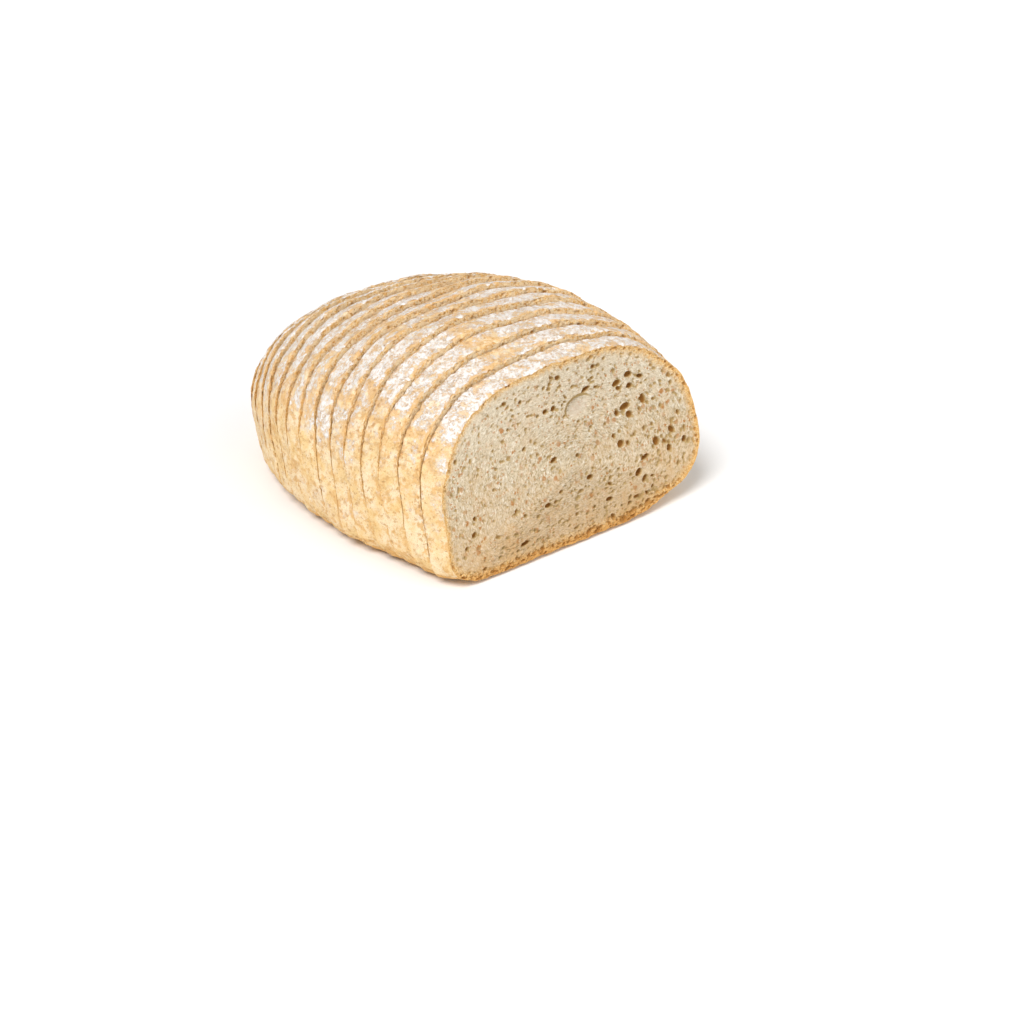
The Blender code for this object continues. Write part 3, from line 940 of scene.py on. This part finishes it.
for number in range(2, SLICE_COUNT + 1):
    name = f"slice_{number:02d}"
    rim_steps = np.concatenate([np.arange(0.0005, 0.006, 0.0006), 0.007 * 1.35 ** np.arange(9)])
    bread = build_slice(
        number, SLICE_POINTS, SLICE_ROWS, BOTTOM_FINENESS, rim_steps, REAR_STEPS, rim_holes
    )
    made = bread.piece(name, number * SLICE_PITCH, SLICE_PITCH, lean_of(number), EDGE_CRUSH)
    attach(made, "root")
    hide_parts(name)

# The heel: the uncut far end of the loaf, a dome of the same floured crust. It was sawn off on
# one face only, and the leaning row of slices rests against it.

HEEL_TIP = math.radians(86.0)
HEEL_ROWS = 76
HEEL_POINTS = 416
HEEL_FINENESS = 0.4
HEEL_STEPS = (0.0006, 0.0012, 0.002, 0.003, 0.006, 0.014, 0.028, 0.045)
TIP_TRIM = 0.0003


def build_heel(count):
    """The heel as a closed mesh: its dome from the cut face to the tip, then the cut face."""
    bread = Bread()
    start = SLICE_COUNT * SLICE_PITCH
    length = LOAF_LENGTH - start
    first = math.asin((start - WIDEST_PLACE) / (LOAF_LENGTH - WIDEST_PLACE))
    rings = []
    pick = 1
    halved_at = 1.0
    for row in range(HEEL_ROWS + 1):
        angle = first + (HEEL_TIP - first) * row / HEEL_ROWS
        along = WIDEST_PLACE + (LOAF_LENGTH - WIDEST_PLACE) * math.sin(angle)
        size_share = fullness(along)[0] / fullness(start)[0]
        if size_share < halved_at * 0.5:
            pick *= 2
            halved_at = size_share
        points, way = crust_outline(along, count, HEEL_FINENESS)
        points = points[::pick]
        way = way[::pick]
        where = np.column_stack([points[:, 0], np.full(len(points), along), points[:, 1]])
        sink = skin_sink(where, way)
        tip = math.sin(angle) ** 8
        shaped = points + way * (sink * (1.0 - tip))[:, None]
        shaped[:, 1] = np.maximum(shaped[:, 1], 0.0)
        depth = along - LOAF_LENGTH + (sink - TIP_TRIM) * tip
        if row == 0:
            depth = -length + half_gap(SLICE_COUNT, shaped)
        drift = SIDE_DRIFT * (LOAF_LENGTH - along)
        if row == 0:
            rim = (shaped, way, along, drift)
        placed = np.column_stack([shaped[:, 0] + drift, depth, shaped[:, 1]])
        low = np.clip(1.0 - points[:, 1] / BAKED_BOTTOM, 0.0, 1.0)
        facing = way * (1.0 - 0.6 * tip)
        rings.append(bread.add(placed, where, flour=flour_cover(where, facing), bake=low))
    for outer, inner in zip(rings, rings[1:]):
        bread.join(outer, inner, 0, True)
    middle = placed.mean(axis=0)[None, :]
    hub = bread.add(middle, where.mean(axis=0)[None, :], flour=0.3)
    bread.join(rings[-1], hub, 0, True)
    cut_face(bread, rim, rings[0], SLICE_COUNT, length, HEEL_STEPS, rim_holes(rim))
    return bread, length


heel_bread, heel_length = build_heel(HEEL_POINTS)
heel_lean = lean_of(SLICE_COUNT + 1)
heel_crush = EDGE_CRUSH + (heel_length - SLICE_PITCH) * math.sin(heel_lean)
heel = heel_bread.piece("heel", LOAF_LENGTH, heel_length, heel_lean, heel_crush)
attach(heel, "root")
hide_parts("heel")

# The surface that the loaf stands on for its picture: one flat, plain and pale sheet, matt, and
# wide enough to have no edge in any view.

FLOOR_REACH = 4
FLOOR_PALE = (0.92, 0.92, 0.92, 1.0)
corners = ((-1, -1), (1, -1), (1, 1), (-1, 1))
floor_points = [(across * FLOOR_REACH, depth * FLOOR_REACH, 0) for across, depth in corners]
floor_mesh = bpy.data.meshes.new("floor")
floor_mesh.from_pydata(floor_points, [], [(0, 1, 2, 3)])
floor = bpy.data.objects.new("floor", floor_mesh)
bpy.context.scene.collection.objects.link(floor)
floor_paint = bpy.data.materials.new("pale_floor")
floor_paint.use_nodes = True
floor_shader = floor_paint.node_tree.nodes["Principled BSDF"]
floor_shader.inputs["Base Color"].default_value = FLOOR_PALE
floor_shader.inputs["Roughness"].default_value = 0.9
floor_shader.inputs["Specular IOR Level"].default_value = 0.0
floor_mesh.materials.append(floor_paint)

# The light: a large soft lamp above on the left, a weaker one in front on the right, and a pale
# room all round, which lights the loaf weakly but looks white behind it. The camera looks down on
# the front slice from the left.

CAMERA_PLACE = (-0.57266, -0.79259, 0.54)
CAMERA_TURN = (math.radians(59.91), 0.0, math.radians(-37.72))
CAMERA_LENS = 73.42
CAMERA_SENSOR = 36.0
ROOM_LIGHT = 0.44
ROOM_WHITE = (1.0, 1.0, 1.0, 1.0)


def soft_sun(name, towards, power, spread):
    """A distant soft lamp whose light travels in a direction."""
    lamp = bpy.data.lights.new(name, "SUN")
    lamp.energy = power
    lamp.angle = math.radians(spread)
    made = bpy.data.objects.new(name, lamp)
    bpy.context.scene.collection.objects.link(made)
    across, depth, up = towards
    flat = math.hypot(across, depth)
    made.rotation_euler = (math.atan2(flat, -up), 0.0, math.atan2(-across, depth))


soft_sun("lamp_left", towards=(0.38, 0.16, -0.63), power=2.35, spread=28.0)
soft_sun("lamp_front", towards=(-0.3, 0.8, -0.5), power=0.85, spread=60.0)

room = bpy.data.worlds.new("pale_room")
room.use_nodes = True
glow = room.node_tree.nodes["Background"]
glow.inputs["Color"].default_value = ROOM_WHITE
glow.inputs["Strength"].default_value = ROOM_LIGHT
backdrop = room.node_tree.nodes.new("ShaderNodeBackground")
backdrop.inputs["Color"].default_value = ROOM_WHITE
rays = room.node_tree.nodes.new("ShaderNodeLightPath")
seen = room.node_tree.nodes.new("ShaderNodeMixShader")
surface = room.node_tree.nodes["World Output"].inputs["Surface"]
room.node_tree.links.new(rays.outputs["Is Camera Ray"], seen.inputs["Fac"])
room.node_tree.links.new(glow.outputs["Background"], seen.inputs[1])
room.node_tree.links.new(backdrop.outputs["Background"], seen.inputs[2])
room.node_tree.links.new(seen.outputs["Shader"], surface)
bpy.context.scene.world = room
bpy.context.scene.view_settings.view_transform = "Standard"

lens = bpy.data.cameras.new("camera")
lens.lens = CAMERA_LENS
lens.sensor_width = CAMERA_SENSOR
camera = bpy.data.objects.new("camera", lens)
bpy.context.scene.collection.objects.link(camera)
camera.location = CAMERA_PLACE
camera.rotation_euler = CAMERA_TURN
bpy.context.scene.camera = camera

bpy.context.view_layer.update()
